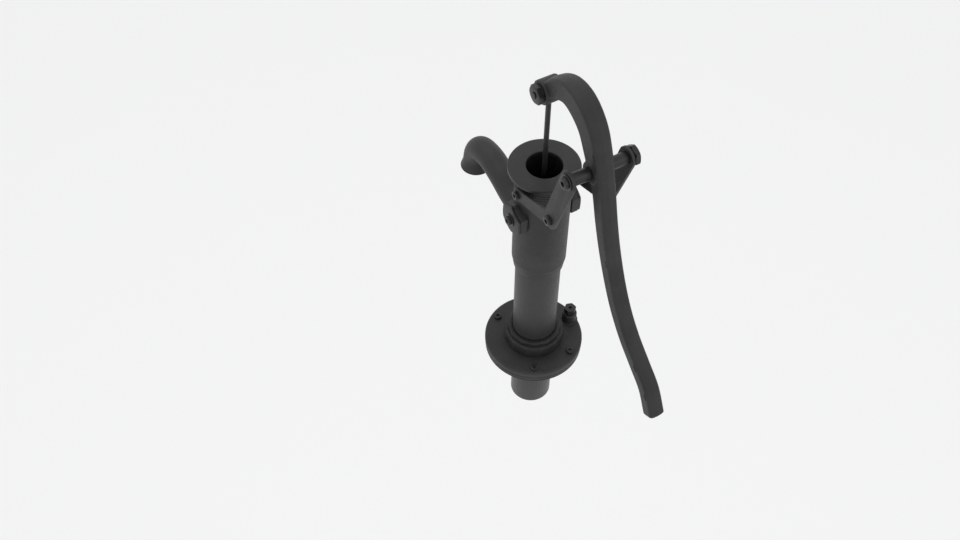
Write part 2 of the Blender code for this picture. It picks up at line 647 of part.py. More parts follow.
def build_plunger(pivot):
    low = height(PLUNGER_LOW)
    seat = low + 0.0100
    chamber_top = low + 0.0340
    body_top = low + 0.0410
    port_r, chamber_r, hub_r, flange_r = 0.0090, 0.0150, 0.0200, 0.0335
    profile = [(port_r, low), (flange_r, low), (flange_r, low + 0.006), (hub_r, low + 0.006)]
    profile += [(hub_r, body_top), (0.0, body_top), (0.0, chamber_top), (chamber_r, chamber_top)]
    profile += [(chamber_r, seat), (port_r, seat)]
    body = add_object("plunger_body", turned(profile, 24), "brass", pivot.location, pivot)
    windows = rod(0.0085, -0.03, 0.03, 20, (0.0, 0.0, chamber_top - 0.0100), "X")
    combine(body, add_helper("plunger_windows", windows), "DIFFERENCE")
    pin_z = height(YOKE_PIN_Z)
    for side, name in ((-1, "near"), (1, "far")):
        y_low, y_high = sorted((side * 0.0058, side * 0.0118))
        ear = block((-0.0085, y_low, body_top - 0.003), (0.0085, y_high, pin_z + 0.0085))
        combine(body, add_helper(f"yoke_ear_{name}", ear), "UNION")
    cut = rod(CROSS_PIN_R + GAP, -0.02, 0.02, 16, (0.0, 0.0, pin_z), "Y")
    combine(body, add_helper("yoke_cut", cut), "DIFFERENCE")
    add_object("crosshead_pin", rod(CROSS_PIN_R, -0.0150, 0.0150, 16, (0.0, 0.0, pin_z), "Y", edge=0.0008),
               "steel", pivot.location, pivot)
    cup_in = hub_r + GAP
    cup_out = LINER_BORE - 0.0006
    base = low + 0.006 + GAP
    profile = [(cup_in, base), (cup_out - 0.0015, base), (cup_out, base + 0.002), (cup_out, base + 0.018)]
    profile += [(cup_out - 0.0028, base + 0.018), (cup_out - 0.0028, base + 0.0030), (cup_in, base + 0.0030)]
    add_object("cup_leather", turned(profile, 24), "leather", pivot.location, pivot)
    ring_low = base + 0.0030 + GAP
    add_object("cup_follower", sleeve(cup_in, cup_out - 0.0034, ring_low, ring_low + 0.004, 24), "brass",
               pivot.location, pivot)
    return seat


def build_valves(plunger_pivot, seat):
    """Poppets: a disc on its seat with a guide stem through the port."""
    stem_r = 0.0035
    disc_low = seat + GAP
    profile = [(0.0, seat - 0.007), (stem_r, seat - 0.007), (stem_r, disc_low), (0.0128, disc_low)]
    profile += [(0.0128, disc_low + 0.0030), (0.0, disc_low + 0.0045)]
    valve_pivot = add_pivot("plunger_valve_pivot", Vector((0.0, 0.0, disc_low)) - plunger_pivot.location)
    valve_pivot.parent = plunger_pivot
    valve = add_object("plunger_valve", turned(profile, 24), "brass", (0.0, 0.0, disc_low))
    valve.parent = valve_pivot
    valve.location = (0.0, 0.0, 0.0)
    seat_low, seat_high = height(0.0010), height(0.0090)
    add_object("foot_valve_seat", sleeve(0.0140, TUBE_BORE - GAP, seat_low, seat_high, 24), "brass")
    foot_low = seat_high + GAP
    profile = [(0.0, height(-0.0120)), (0.0045, height(-0.0120)), (0.0045, foot_low), (0.0195, foot_low)]
    profile += [(0.0195, foot_low + 0.0035), (0.0060, foot_low + 0.0055), (0.0, foot_low + 0.0055)]
    add_object("foot_valve", turned(profile, 20), "brass", (0.0, 0.0, foot_low))


def main():
    clear_scene()
    build_flange()
    build_pipes()
    build_locknuts()
    build_head()
    build_cap()
    build_spout()
    build_brackets()
    build_fulcrum()
    handle_pivot = add_pivot("handle_pivot", Vector((FULCRUM[0], 0.0, height(FULCRUM[1]))))
    build_handle(handle_pivot)
    rod_pivot = add_pivot("rod_pivot", Vector((0.0, 0.0, height(ROD_PIN_Z))))
    build_rod(rod_pivot)
    plunger_pivot = add_pivot("plunger_pivot", Vector((0.0, 0.0, height(PLUNGER_LOW))))
    seat = build_plunger(plunger_pivot)
    build_valves(plunger_pivot, seat)


main()
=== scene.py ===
"""Hand well pump, dressed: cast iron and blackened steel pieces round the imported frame."""
import json
import math

import bmesh
import bpy
from mathutils import Matrix, Vector


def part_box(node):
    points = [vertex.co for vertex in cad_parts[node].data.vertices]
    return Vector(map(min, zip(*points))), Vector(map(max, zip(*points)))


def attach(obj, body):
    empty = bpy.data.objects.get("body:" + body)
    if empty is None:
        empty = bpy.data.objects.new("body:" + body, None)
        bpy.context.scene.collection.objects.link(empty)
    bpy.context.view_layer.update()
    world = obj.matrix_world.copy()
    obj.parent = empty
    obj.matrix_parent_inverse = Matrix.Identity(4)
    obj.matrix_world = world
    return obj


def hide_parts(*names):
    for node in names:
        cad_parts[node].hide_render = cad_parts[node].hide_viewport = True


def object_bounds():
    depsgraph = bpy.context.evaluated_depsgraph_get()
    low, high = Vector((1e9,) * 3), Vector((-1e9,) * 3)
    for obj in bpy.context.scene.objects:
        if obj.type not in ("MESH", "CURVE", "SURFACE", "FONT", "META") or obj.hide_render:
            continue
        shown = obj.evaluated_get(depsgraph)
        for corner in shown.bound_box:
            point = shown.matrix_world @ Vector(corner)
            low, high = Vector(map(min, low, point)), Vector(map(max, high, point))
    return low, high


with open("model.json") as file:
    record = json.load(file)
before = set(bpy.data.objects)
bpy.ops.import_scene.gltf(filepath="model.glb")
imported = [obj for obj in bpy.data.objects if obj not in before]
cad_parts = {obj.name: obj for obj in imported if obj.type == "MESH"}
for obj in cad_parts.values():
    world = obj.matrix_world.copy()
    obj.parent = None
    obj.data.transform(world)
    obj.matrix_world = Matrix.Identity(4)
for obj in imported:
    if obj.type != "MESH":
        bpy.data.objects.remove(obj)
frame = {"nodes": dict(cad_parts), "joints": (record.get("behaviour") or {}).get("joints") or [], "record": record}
CAD_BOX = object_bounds()

# ---- sizes in metres, stated here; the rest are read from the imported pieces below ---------
# SHOULDER_HIGH and NECK_LOW are heights above the flange's top, and TAIL_SCALE is a share
GAP = 0.0003
PIPE_BORE = 0.0362
TUBE_BORE = 0.0386
HEAD_BORE = 0.0440
CAP_HOLE = 0.0327
SHOULDER_HIGH = 0.267
NECK_LOW = 0.452
SPOUT_R = 0.0258
SPOUT_WALL = 0.0035
MOUTH_R = 0.0314
LUG_R = 0.0155
FULCRUM_HOLE = 0.0068
ROD_PIN_HOLE = 0.0055
BOSS_R = 0.0217
HUB_R = 0.0190
EYE_R = 0.0110
EYE_HALF = 0.0042
SLOT_HALF = 0.0056
TAIL_CHAMFER = 0.004
TAIL_SCALE = 0.72
BOLT_HEADS = {"side_bolt": 0.0055, "upper_bolt": 0.0060, "lower_bolt": 0.0065}
STAND, HANDLE, ROD = "stand", "handle", "pump_rod"


def low(node):
    return Vector(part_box(node)[0])


def high(node):
    return Vector(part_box(node)[1])


def middle(node):
    return (low(node) + high(node)) / 2.0


def faces_along_y(node):
    """Distances of a piece's two faces from the pump's middle plane, the nearer one first."""
    return sorted((abs(low(node).y), abs(high(node).y)))


FLANGE_TOP = low("flange_locknut").z - GAP
HEAD_R = -high("fulcrum_bracket_near").y - 0.0007
TUBE_R = high("pump_tube").x
CAP_R = high("head_cap").x
JOINTS = {joint["name"]: joint for joint in frame["joints"]}
FULCRUM = Vector(JOINTS["handle_hinge"]["pos_m"])
ROD_PIN = Vector(JOINTS["rod_hinge"]["pos_m"])
SIDES = ((-1, "near", "-Y"), (1, "far", "Y"))


def level(z):
    """World height of a level given above the flange's top face."""
    return FLANGE_TOP + z


# ---- materials ---------------------------------------------------------------------------
def ramp(nodes, low_at, low_value, high_at, high_value):
    node = nodes.new("ShaderNodeMapRange")
    node.inputs["From Min"].default_value = low_at
    node.inputs["From Max"].default_value = high_at
    node.inputs["To Min"].default_value = low_value
    node.inputs["To Max"].default_value = high_value
    return node


def noise(nodes, links, coordinates, scale, detail, roughness=0.55):
    node = nodes.new("ShaderNodeTexNoise")
    node.inputs["Scale"].default_value = scale
    node.inputs["Detail"].default_value = detail
    node.inputs["Roughness"].default_value = roughness
    links.new(coordinates, node.inputs["Vector"])
    return node


def metal(name, dark, light, metallic, roughness, grain, grain_depth,
          stretch=(1.0, 1.0, 1.0), shine=0.5):
    """Dark metal: cloudy colour, small pits or grain, and roughness that varies with both."""
    material = bpy.data.materials.new(name)
    material.use_nodes = True
    nodes, links = material.node_tree.nodes, material.node_tree.links
    shader = nodes["Principled BSDF"]
    shader.inputs["Metallic"].default_value = metallic
    shader.inputs["Specular IOR Level"].default_value = shine
    place = nodes.new("ShaderNodeTexCoord")
    scaled = nodes.new("ShaderNodeMapping")
    scaled.inputs["Scale"].default_value = stretch
    links.new(place.outputs["Object"], scaled.inputs["Vector"])
    at = scaled.outputs["Vector"]
    clouds = noise(nodes, links, at, 18.0, 5.0)
    fine = noise(nodes, links, at, grain, 6.0, 0.62)
    pits = nodes.new("ShaderNodeTexVoronoi")
    pits.inputs["Scale"].default_value = grain * 0.55
    links.new(at, pits.inputs["Vector"])
    colour = nodes.new("ShaderNodeMix")
    colour.data_type = "RGBA"
    colour.inputs["A"].default_value = (*dark, 1.0)
    colour.inputs["B"].default_value = (*light, 1.0)
    blend = nodes.new("ShaderNodeMath")
    blend.operation = "MULTIPLY_ADD"
    links.new(fine.outputs["Fac"], blend.inputs[0])
    blend.inputs[1].default_value = 0.45
    spread = ramp(nodes, 0.30, -0.05, 0.70, 0.55)
    links.new(clouds.outputs["Fac"], spread.inputs["Value"])
    links.new(spread.outputs["Result"], blend.inputs[2])
    links.new(blend.outputs["Value"], colour.inputs["Factor"])
    links.new(colour.outputs["Result"], shader.inputs["Base Color"])
    rough = ramp(nodes, 0.30, roughness - 0.09, 0.72, roughness + 0.10)
    links.new(fine.outputs["Fac"], rough.inputs["Value"])
    links.new(rough.outputs["Result"], shader.inputs["Roughness"])
    pitted = ramp(nodes, 0.0, 0.0, 0.35, 1.0)
    links.new(pits.outputs["Distance"], pitted.inputs["Value"])
    relief = nodes.new("ShaderNodeMath")
    relief.operation = "MULTIPLY_ADD"
    links.new(pitted.outputs["Result"], relief.inputs[0])
    relief.inputs[1].default_value = 0.35
    links.new(fine.outputs["Fac"], relief.inputs[2])
    bump = nodes.new("ShaderNodeBump")
    bump.inputs["Strength"].default_value = 0.75
    bump.inputs["Distance"].default_value = grain_depth
    links.new(relief.outputs["Value"], bump.inputs["Height"])
    links.new(bump.outputs["Normal"], shader.inputs["Normal"])
    return material


CAST = metal("cast_iron_dark", (0.0050, 0.0051, 0.0054), (0.0240, 0.0241, 0.0247), 0.0, 0.52,
             380.0, 0.00085, shine=0.42)
MACHINED = metal("cast_iron_faced", (0.0055, 0.0056, 0.0059), (0.0220, 0.0221, 0.0227), 0.0, 0.47,
                 520.0, 0.00040, shine=0.40)
STEEL = metal("steel_black", (0.0090, 0.0091, 0.0098), (0.0210, 0.0212, 0.0222), 0.25, 0.40, 900.0, 0.00012)
PIPE = metal("steel_pipe", (0.0095, 0.0096, 0.0102), (0.0220, 0.0222, 0.0230), 0.10, 0.44,
             520.0, 0.00016, (1, 1, 0.12), shine=0.55)
BRONZE = metal("bronze", (0.16, 0.105, 0.045), (0.34, 0.235, 0.105), 0.85, 0.36, 800.0, 0.0001)
RUBBER = metal("gasket_rubber", (0.014, 0.014, 0.014), (0.028, 0.028, 0.028), 0.0, 0.80, 600.0, 0.0002)
LEATHER = metal("oiled_leather", (0.060, 0.032, 0.016), (0.130, 0.072, 0.036), 0.0, 0.66, 500.0, 0.0004)


# ---- making pieces -----------------------------------------------------------------------
def object_from(bm, name):
    bmesh.ops.remove_doubles(bm, verts=bm.verts, dist=1e-6)
    bmesh.ops.recalc_face_normals(bm, faces=bm.faces)
    mesh = bpy.data.meshes.new(name)
    bm.to_mesh(mesh)
    bm.free()
    obj = bpy.data.objects.new(name, mesh)
    bpy.context.scene.collection.objects.link(obj)
    return obj


def settle(obj):
    """Turn an object's modifiers into a plain mesh."""
    graph = bpy.context.evaluated_depsgraph_get()
    mesh = bpy.data.meshes.new_from_object(obj.evaluated_get(graph), depsgraph=graph)
    obj.modifiers.clear()
    old = obj.data
    obj.data = mesh
    bpy.data.meshes.remove(old)
    return obj


def bevelled(obj, width, segments=2, angle=30.0):
    step = obj.modifiers.new("edges", "BEVEL")
    step.width = width
    step.segments = segments
    step.limit_method = "ANGLE"
    step.angle_limit = math.radians(angle)
    step.harden_normals = False
    return settle(obj)


def boolean(obj, helper, operation):
    step = obj.modifiers.new("shape", "BOOLEAN")
    step.operation = operation
    step.solver = "EXACT"
    step.object = helper
    settle(obj)
    bpy.data.objects.remove(helper, do_unlink=True)
    return obj


def cast_skin(obj, voxel, rounds):
    """Melt sharp joins into the soft fillets of a casting."""
    step = obj.modifiers.new("skin", "REMESH")
    step.mode = "VOXEL"
    step.voxel_size = voxel
    soften = obj.modifiers.new("soften", "SMOOTH")
    soften.factor = 0.5
    soften.iterations = rounds
    return settle(obj)


def close_ends(bm):
    bmesh.ops.holes_fill(bm, edges=[edge for edge in bm.edges if edge.is_boundary])
    return bm


def cleaned(obj):
    """Merge the slivers that cutting leaves, and close what that opens."""
    bm = bmesh.new()
    bm.from_mesh(obj.data)
    if all(edge.is_manifold for edge in bm.edges):
        bm.free()
        return
    bmesh.ops.remove_doubles(bm, verts=bm.verts, dist=1.5e-5)
    bmesh.ops.dissolve_degenerate(bm, edges=bm.edges, dist=5e-6)
    loose = [edge for edge in bm.edges if not edge.link_faces]
    bmesh.ops.delete(bm, geom=loose, context="EDGES")
    close_ends(bm)
    bmesh.ops.recalc_face_normals(bm, faces=bm.faces)
    bm.to_mesh(obj.data)
    bm.free()


def finished(obj, body, slot, material, *nodes, sharp=32.0):
    cleaned(obj)
    obj.data.materials.clear()
    obj.data.materials.append(material)
    obj.data.shade_smooth()
    obj.data.set_sharp_from_angle(angle=math.radians(sharp))
    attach(obj, body)
    if nodes:
        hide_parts(*nodes)
    return obj


TURNS = {
    "Z": Matrix.Identity(4),
    "Y": Matrix.Rotation(-math.pi / 2.0, 4, "X"),
    "-Y": Matrix.Rotation(math.pi / 2.0, 4, "X"),
    "-X": Matrix.Rotation(-math.pi / 2.0, 4, "Y"),
}


def joined_loops(loops, closed):
    """A mesh skinned over loops of (x, y, z) points; a loop of one point is a pole."""
    bm = bmesh.new()
    rings = [[bm.verts.new(point) for point in loop] for loop in loops]
    pairs = list(zip(rings, rings[1:]))
    if closed:
        pairs.append((rings[-1], rings[0]))
    for ring, following in pairs:
        count = max(len(ring), len(following))
        if count == 1:
            continue
        for step in range(count):
            after = (step + 1) % count
            if len(ring) == 1:
                bm.faces.new((ring[0], following[step], following[after]))
            elif len(following) == 1:
                bm.faces.new((ring[step], ring[after], following[0]))
            else:
                bm.faces.new((ring[step], ring[after], following[after], following[step]))
    return bm


def turned(profile, segments=96, centre=(0.0, 0.0, 0.0), along="Z"):
    loops = []
    for radius, position in profile:
        if radius < 1e-7:
            loops.append([(0.0, 0.0, position)])
            continue
        turns = [2.0 * math.pi * step / segments for step in range(segments)]
        loops.append([(radius * math.cos(turn), radius * math.sin(turn), position) for turn in turns])
    bm = joined_loops(loops, True)
    bm.transform(Matrix.Translation(centre) @ TURNS[along])
    return bm


def drilled(obj, radius, start, end, centre=(0.0, 0.0, 0.0), along="Z", segments=32):
    outline = [(0, start), (radius, start), (radius, end), (0, end)]
    return boolean(obj, object_from(turned(outline, segments, centre, along), "drill"), "DIFFERENCE")


def rounded(profile, radius=0.0008, steps=3):
    """Round the corners of a closed outline of (radius, position) points, except those on the axis."""
    outline = []
    count = len(profile)
    for index, point in enumerate(profile):
        here = Vector(point)
        before = Vector(profile[index - 1])
        after = Vector(profile[(index + 1) % count])
        if here.x < 1e-7:
            outline.append(tuple(here))
            continue
        back, ahead = before - here, after - here
        reach = min(radius, back.length * 0.45, ahead.length * 0.45)
        start = here + back.normalized() * reach
        end = here + ahead.normalized() * reach
        for step in range(steps + 1):
            t = step / steps
            outline.append(tuple(start * (1 - t) ** 2 + here * 2 * t * (1 - t) + end * t * t))
    return outline


def sided(sides, corner, bore, bottom, top, centre=(0.0, 0.0, 0.0), along="Z", phase=0.0,
          segments=96, chamfer=0.45):
    """Nut or many-sided ring: flats cut by a cone at both faces, round a chamfered bore."""
    sector = 2.0 * math.pi / sides
    flat = corner * math.cos(sector / 2.0)
    cone_r = flat * 0.985
    lip = min(0.0009, (top - bottom) * 0.15)
    loops = []
    for kind, position, way in (("bore", bottom, 1), ("cone", bottom, 1), ("side", bottom, 1),
                                ("side", top, -1), ("cone", top, -1), ("bore", top, -1)):
        loop = []
        for step in range(segments):
            angle = 2.0 * math.pi * step / segments
            edge_r = flat / math.cos(angle % sector - sector / 2.0)
            if kind == "bore":
                loop.append((bore + lip, angle, position))
            elif kind == "cone":
                loop.append((cone_r, angle, position))
            else:
                loop.append((edge_r, angle, position + way * (edge_r - cone_r) * chamfer))
        loops.append(loop)
    loops.append([(bore, angle, top - lip) for _, angle, _ in loops[0]])
    loops.append([(bore, angle, bottom + lip) for _, angle, _ in loops[0]])
    placed = [[(r * math.cos(a + phase), r * math.sin(a + phase), z) for r, a, z in loop] for loop in loops]
    bm = joined_loops(placed, True)
    bm.transform(Matrix.Translation(centre) @ TURNS[along])
    return bm


def socket_head(head_r, head_t, shank_r, shank, centre, along, drive=0.5, segments=48):
    """Round bolt head with a hexagonal blind socket, and a plain shank behind it."""
    sector = math.pi / 3.0
    edge = head_r * 0.14
    ring = [2.0 * math.pi * step / segments for step in range(segments)]
    levels = [(shank_r, -shank), (shank_r, 0.0), (head_r, 0.0), (head_r, head_t - edge),
              (head_r - edge * 0.3, head_t - edge * 0.3), (head_r - edge, head_t)]
    loops = [[(0.0, 0.0, -shank)]]
    loops += [[(r * math.cos(a), r * math.sin(a), z) for a in ring] for r, z in levels]
    for grow, z in ((1.12, head_t), (1.0, head_t - 0.0005), (1.0, head_t * 0.35)):
        loop = []
        for a in ring:
            r = head_r * drive * grow * math.cos(sector / 2.0) / math.cos(a % sector - sector / 2.0)
            loop.append((r * math.cos(a), r * math.sin(a), z))
        loops.append(loop)
    loops.append([(0.0, 0.0, head_t * 0.28)])
    bm = joined_loops(loops, False)
    bm.transform(Matrix.Translation(centre) @ TURNS[along])
    return bm


def arc_points(centre, radius, start, end, steps):
    points = []
    for step in range(steps + 1):
        angle = math.radians(start + (end - start) * step / steps)
        points.append((centre[0] + radius * math.cos(angle), centre[1] + radius * math.sin(angle)))
    return points


def plate(outline, y_low, y_high):
    bm = bmesh.new()
    near = [bm.verts.new((x, y_low, z)) for x, z in outline]
    far = [bm.verts.new((x, y_high, z)) for x, z in outline]
    bm.faces.new(near)
    bm.faces.new(far)
    for step in range(len(outline)):
        after = (step + 1) % len(outline)
        bm.faces.new((near[step], near[after], far[after], far[step]))
    return bm


def bar_outline(first, first_r, second, second_r, steps=24):
    run = Vector(second) - Vector(first)
    heading = math.degrees(math.atan2(run.y, run.x))
    slope = math.degrees(math.acos((first_r - second_r) / run.length))
    outline = arc_points(second, second_r, heading - slope, heading + slope, steps)
    return outline + arc_points(first, first_r, heading + slope, heading + 360.0 - slope, steps)


def smooth_path(points, per_span):
    ends = [2 * points[0] - points[1]] + list(points) + [2 * points[-1] - points[-2]]
    path = []
    for index in range(1, len(ends) - 2):
        before, start, end, after = ends[index - 1:index + 3]
        for step in range(per_span):
            t = step / per_span
            path.append(0.5 * (2 * start + (end - before) * t
                               + (2 * before - 5 * start + 4 * end - after) * t * t
                               + (3 * start - before - 3 * end + after) * t * t * t))
    path.append(points[-1].copy())
    return path


# ---- threads: a geometry node tree, used wherever a thread shows ---------------------------
def thread_tree():
    tree = bpy.data.node_groups.new("screw_thread", "GeometryNodeTree")
    tree.is_modifier = True
    face = tree.interface
    for name, value in (("Radius", 0.01), ("Length", 0.01), ("Pitch", 0.002), ("Depth", 0.0005)):
        socket = face.new_socket(name, in_out="INPUT", socket_type="NodeSocketFloat")
        socket.default_value = value
    face.new_socket("Finish", in_out="INPUT", socket_type="NodeSocketMaterial")
    face.new_socket("Geometry", in_out="OUTPUT", socket_type="NodeSocketGeometry")
    nodes, links = tree.nodes, tree.links
    given = nodes.new("NodeGroupInput")
    out = nodes.new("NodeGroupOutput")
    turns = nodes.new("ShaderNodeMath")
    turns.operation = "DIVIDE"
    links.new(given.outputs["Length"], turns.inputs[0])
    links.new(given.outputs["Pitch"], turns.inputs[1])
    coil = nodes.new("GeometryNodeCurveSpiral")
    coil.inputs["Resolution"].default_value = 40
    links.new(turns.outputs["Value"], coil.inputs["Rotations"])
    links.new(given.outputs["Radius"], coil.inputs["Start Radius"])
    links.new(given.outputs["Radius"], coil.inputs["End Radius"])
    links.new(given.outputs["Length"], coil.inputs["Height"])
    crest = nodes.new("GeometryNodeCurvePrimitiveCircle")
    crest.inputs["Resolution"].default_value = 6
    links.new(given.outputs["Depth"], crest.inputs["Radius"])
    ridge = nodes.new("GeometryNodeCurveToMesh")
    ridge.inputs["Fill Caps"].default_value = True
    links.new(coil.outputs["Curve"], ridge.inputs["Curve"])
    links.new(crest.outputs["Curve"], ridge.inputs["Profile Curve"])
    real = nodes.new("GeometryNodeRealizeInstances")
    links.new(ridge.outputs["Mesh"], real.inputs["Geometry"])
    paint = nodes.new("GeometryNodeSetMaterial")
    links.new(real.outputs["Geometry"], paint.inputs["Geometry"])
    links.new(given.outputs["Finish"], paint.inputs["Material"])
    links.new(paint.outputs["Geometry"], out.inputs["Geometry"])
    return tree


def run_tree(name, tree, values, start=None):
    """Run a node tree on a new object and keep the result as a plain mesh."""
    obj = bpy.data.objects.new(name, start or bpy.data.meshes.new(name))
    bpy.context.scene.collection.objects.link(obj)
    step = obj.modifiers.new("tree", "NODES")
    step.node_group = tree
    for item in tree.interface.items_tree:
        if item.in_out == "INPUT" and item.name in values:
            step[item.identifier] = values[item.name]
    return settle(obj)


THREAD = thread_tree()


def thread(name, radius, length, pitch, depth, place, along, body, slot, material):
    values = {"Radius": radius, "Length": length, "Pitch": pitch, "Depth": depth, "Finish": material}
    obj = run_tree(name, THREAD, values)
    obj.data.transform(Matrix.Translation(place) @ TURNS[along])
    return finished(obj, body, slot, material)


# ---- stand -----------------------------------------------------------------------------
def make_flange():
    """Well flange with its lug, and the base ring, gasket, bolts and vent plug that go with it."""
    bottom, radius = low("well_flange").z, high("well_flange").x
    bore = high("drop_pipe").x + GAP
    edge = 0.0026
    profile = [(bore, bottom), (radius - edge * 0.6, bottom), (radius, bottom + edge * 0.6)]
    profile += [(radius, FLANGE_TOP - edge), (radius - edge, FLANGE_TOP), (bore, FLANGE_TOP)]
    flange = object_from(turned(rounded(profile, 0.0012, 4), 160), "well_flange_casting")
    lug_at = middle("vent_washer")
    lug_top = low("vent_washer").z - GAP
    skirt = 0.0022
    outline = [(0.0, bottom + 0.004), (LUG_R + skirt, bottom + 0.004), (LUG_R + skirt, FLANGE_TOP + 0.0002)]
    outline += [(LUG_R + skirt * 0.3, FLANGE_TOP + skirt * 0.35), (LUG_R, FLANGE_TOP + skirt)]
    outline += [(LUG_R - 0.0006, lug_top - 0.0024), (LUG_R - 0.0024, lug_top), (0.0, lug_top)]
    place = (lug_at.x, lug_at.y, 0.0)
    boolean(flange, object_from(turned(outline, 64, place), "lug"), "UNION")
    drilled(flange, 0.0062, FLANGE_TOP + 0.004, lug_top + 0.01, place)
    bolts = [middle(f"flange_bolt_{number}") for number in range(1, 5)]
    for bolt in bolts:
        drilled(flange, 0.0048, -0.01, FLANGE_TOP + 0.01, (bolt.x, bolt.y, 0.0))
    finished(flange, STAND, "cast_dark", CAST, "well_flange")
    make_base()
    make_flange_bolts(bolts)
    make_vent(place)


def make_base():
    """Base ring under the well flange, and the gasket under that."""
    bore = high("drop_pipe").x + GAP
    base_low, base_high = low("base_ring").z, high("base_ring").z
    base_r = high("base_ring").x
    outline = [(bore, base_low), (base_r, base_low), (base_r, base_high), (bore, base_high)]
    base = object_from(turned(rounded(outline, 0.0026, 5), 160), "base_ring_casting")
    finished(base, STAND, "cast_dark", CAST, "base_ring")
    gasket_r = high("flange_gasket").x
    gasket_top = high("flange_gasket").z
    outline = [(bore, 0.0), (gasket_r, 0.0), (gasket_r, gasket_top), (bore, gasket_top)]
    gasket = object_from(turned(rounded(outline, 0.0008), 128), "gasket_ring")
    finished(gasket, STAND, "gasket_rubber", RUBBER, "flange_gasket")


def bolt_tree(sizes):
    """A given bolt set on loose points, each one turned about its axis by a different amount."""
    tree = bpy.data.node_groups.new("bolts_on_points", "GeometryNodeTree")
    tree.is_modifier = True
    face = tree.interface
    face.new_socket("Points", in_out="INPUT", socket_type="NodeSocketGeometry")
    for name, value in sizes.items():
        socket = face.new_socket(name, in_out="INPUT", socket_type="NodeSocketFloat")
        socket.default_value = value
    face.new_socket("Bolt", in_out="INPUT", socket_type="NodeSocketObject")
    face.new_socket("Finish", in_out="INPUT", socket_type="NodeSocketMaterial")
    face.new_socket("Geometry", in_out="OUTPUT", socket_type="NodeSocketGeometry")
    nodes, links = tree.nodes, tree.links
    given = nodes.new("NodeGroupInput")
    out = nodes.new("NodeGroupOutput")
    source = nodes.new("GeometryNodeObjectInfo")
    links.new(given.outputs["Bolt"], source.inputs["Object"])
    turn = nodes.new("FunctionNodeRandomValue")
    turn.data_type = "FLOAT_VECTOR"
    turn.inputs["Min"].default_value = (0.0, 0.0, 0.0)
    turn.inputs["Max"].default_value = (0.0, 0.0, 6.283)
    turn.inputs["Seed"].default_value = 7
    spread = nodes.new("GeometryNodeInstanceOnPoints")
    links.new(given.outputs["Points"], spread.inputs["Points"])
    links.new(source.outputs["Geometry"], spread.inputs["Instance"])
    links.new(turn.outputs["Value"], spread.inputs["Rotation"])
    grow = nodes.new("ShaderNodeCombineXYZ")
    for axis in "XYZ":
        links.new(given.outputs["Size"], grow.inputs[axis])
    links.new(grow.outputs["Vector"], spread.inputs["Scale"])
    real = nodes.new("GeometryNodeRealizeInstances")
    links.new(spread.outputs["Instances"], real.inputs["Geometry"])
    paint = nodes.new("GeometryNodeSetMaterial")
    links.new(real.outputs["Geometry"], paint.inputs["Geometry"])
    links.new(given.outputs["Finish"], paint.inputs["Material"])
    links.new(paint.outputs["Geometry"], out.inputs["Geometry"])
    return tree


def make_flange_bolts(bolts):
    head_t = high("flange_bolt_1").z - FLANGE_TOP - GAP
    shank = FLANGE_TOP - 0.0005
    pattern = object_from(socket_head(0.0078, head_t, 0.0045, shank, (0, 0, 0), "Z"), "bolt_pattern")
    points = bpy.data.meshes.new("bolt_points")
    points.from_pydata([(bolt.x, bolt.y, FLANGE_TOP + GAP) for bolt in bolts], [], [])
    values = {"Size": 1.0, "Bolt": pattern, "Finish": STEEL}
    obj = run_tree("flange_bolts", bolt_tree({"Size": 1.0}), values, points)
    bpy.data.objects.remove(pattern, do_unlink=True)
    finished(obj, STAND, "steel_dark", STEEL, *[f"flange_bolt_{number}" for number in range(1, 5)])


def make_vent(place):
    bottom, top = low("vent_washer").z, high("vent_washer").z
    inner, outer = 0.0060, 0.0135
    outline = [(inner, bottom), (outer, bottom), (outer, top), (inner, top)]
    ring = turned(rounded(outline, 0.0005), 64, place)
    finished(object_from(ring, "vent_plug_washer"), STAND, "steel_dark", STEEL, "vent_washer")
    head_low, head_top = top + GAP, high("vent_plug").z
    plug = object_from(sided(6, 0.0128, 0.0030, head_low, head_top, place, "Z", 0.2), "vent_plug_hex")
    stem = turned([(0, low("vent_plug").z), (0.0056, low("vent_plug").z), (0.0056, head_top - 0.0045),
                   (0, head_top - 0.0045)], 32, place)
    boolean(plug, object_from(stem, "stem"), "UNION")
    finished(plug, STAND, "steel_dark", STEEL, "vent_plug")


def make_pipes():
    bottom, top = low("drop_pipe").z, high("drop_pipe").z
    outer = high("drop_pipe").x
    profile = rounded([(PIPE_BORE, bottom), (outer, bottom), (outer, top), (PIPE_BORE, top)], 0.0011)
    finished(object_from(turned(profile, 128), "drop_pipe_steel"), STAND, "steel_dark", PIPE, "drop_pipe")
    bottom, top = low("pump_tube").z, high("pump_tube").z
    profile = rounded([(TUBE_BORE, bottom), (TUBE_R, bottom), (TUBE_R, top), (TUBE_BORE, top)], 0.0006)
    finished(object_from(turned(profile, 128), "pump_tube_steel"), STAND, "steel_dark", PIPE, "pump_tube")
    start = high("jam_nut").z + 0.0005
    thread("tube_thread", TUBE_R - 0.0001, 0.0075, 0.0022, 0.00032, (0, 0, start), "Z",
           STAND, "steel_dark", PIPE)


def make_locknuts():
    bore = TUBE_R + 2 * GAP
    for node, corner, phase, name in (("flange_locknut", 0.0610, 0.26, "flange_locknut_cast"),
                                      ("jam_nut", 0.0545, 0.0, "jam_nut_cast")):
        nut = sided(12, corner, bore, low(node).z, high(node).z, phase=phase, segments=144, chamfer=0.25)
        nut = bevelled(object_from(nut, name), 0.0006, 2, 12.0)
        finished(nut, STAND, "cast_dark", CAST, node, sharp=25.0)


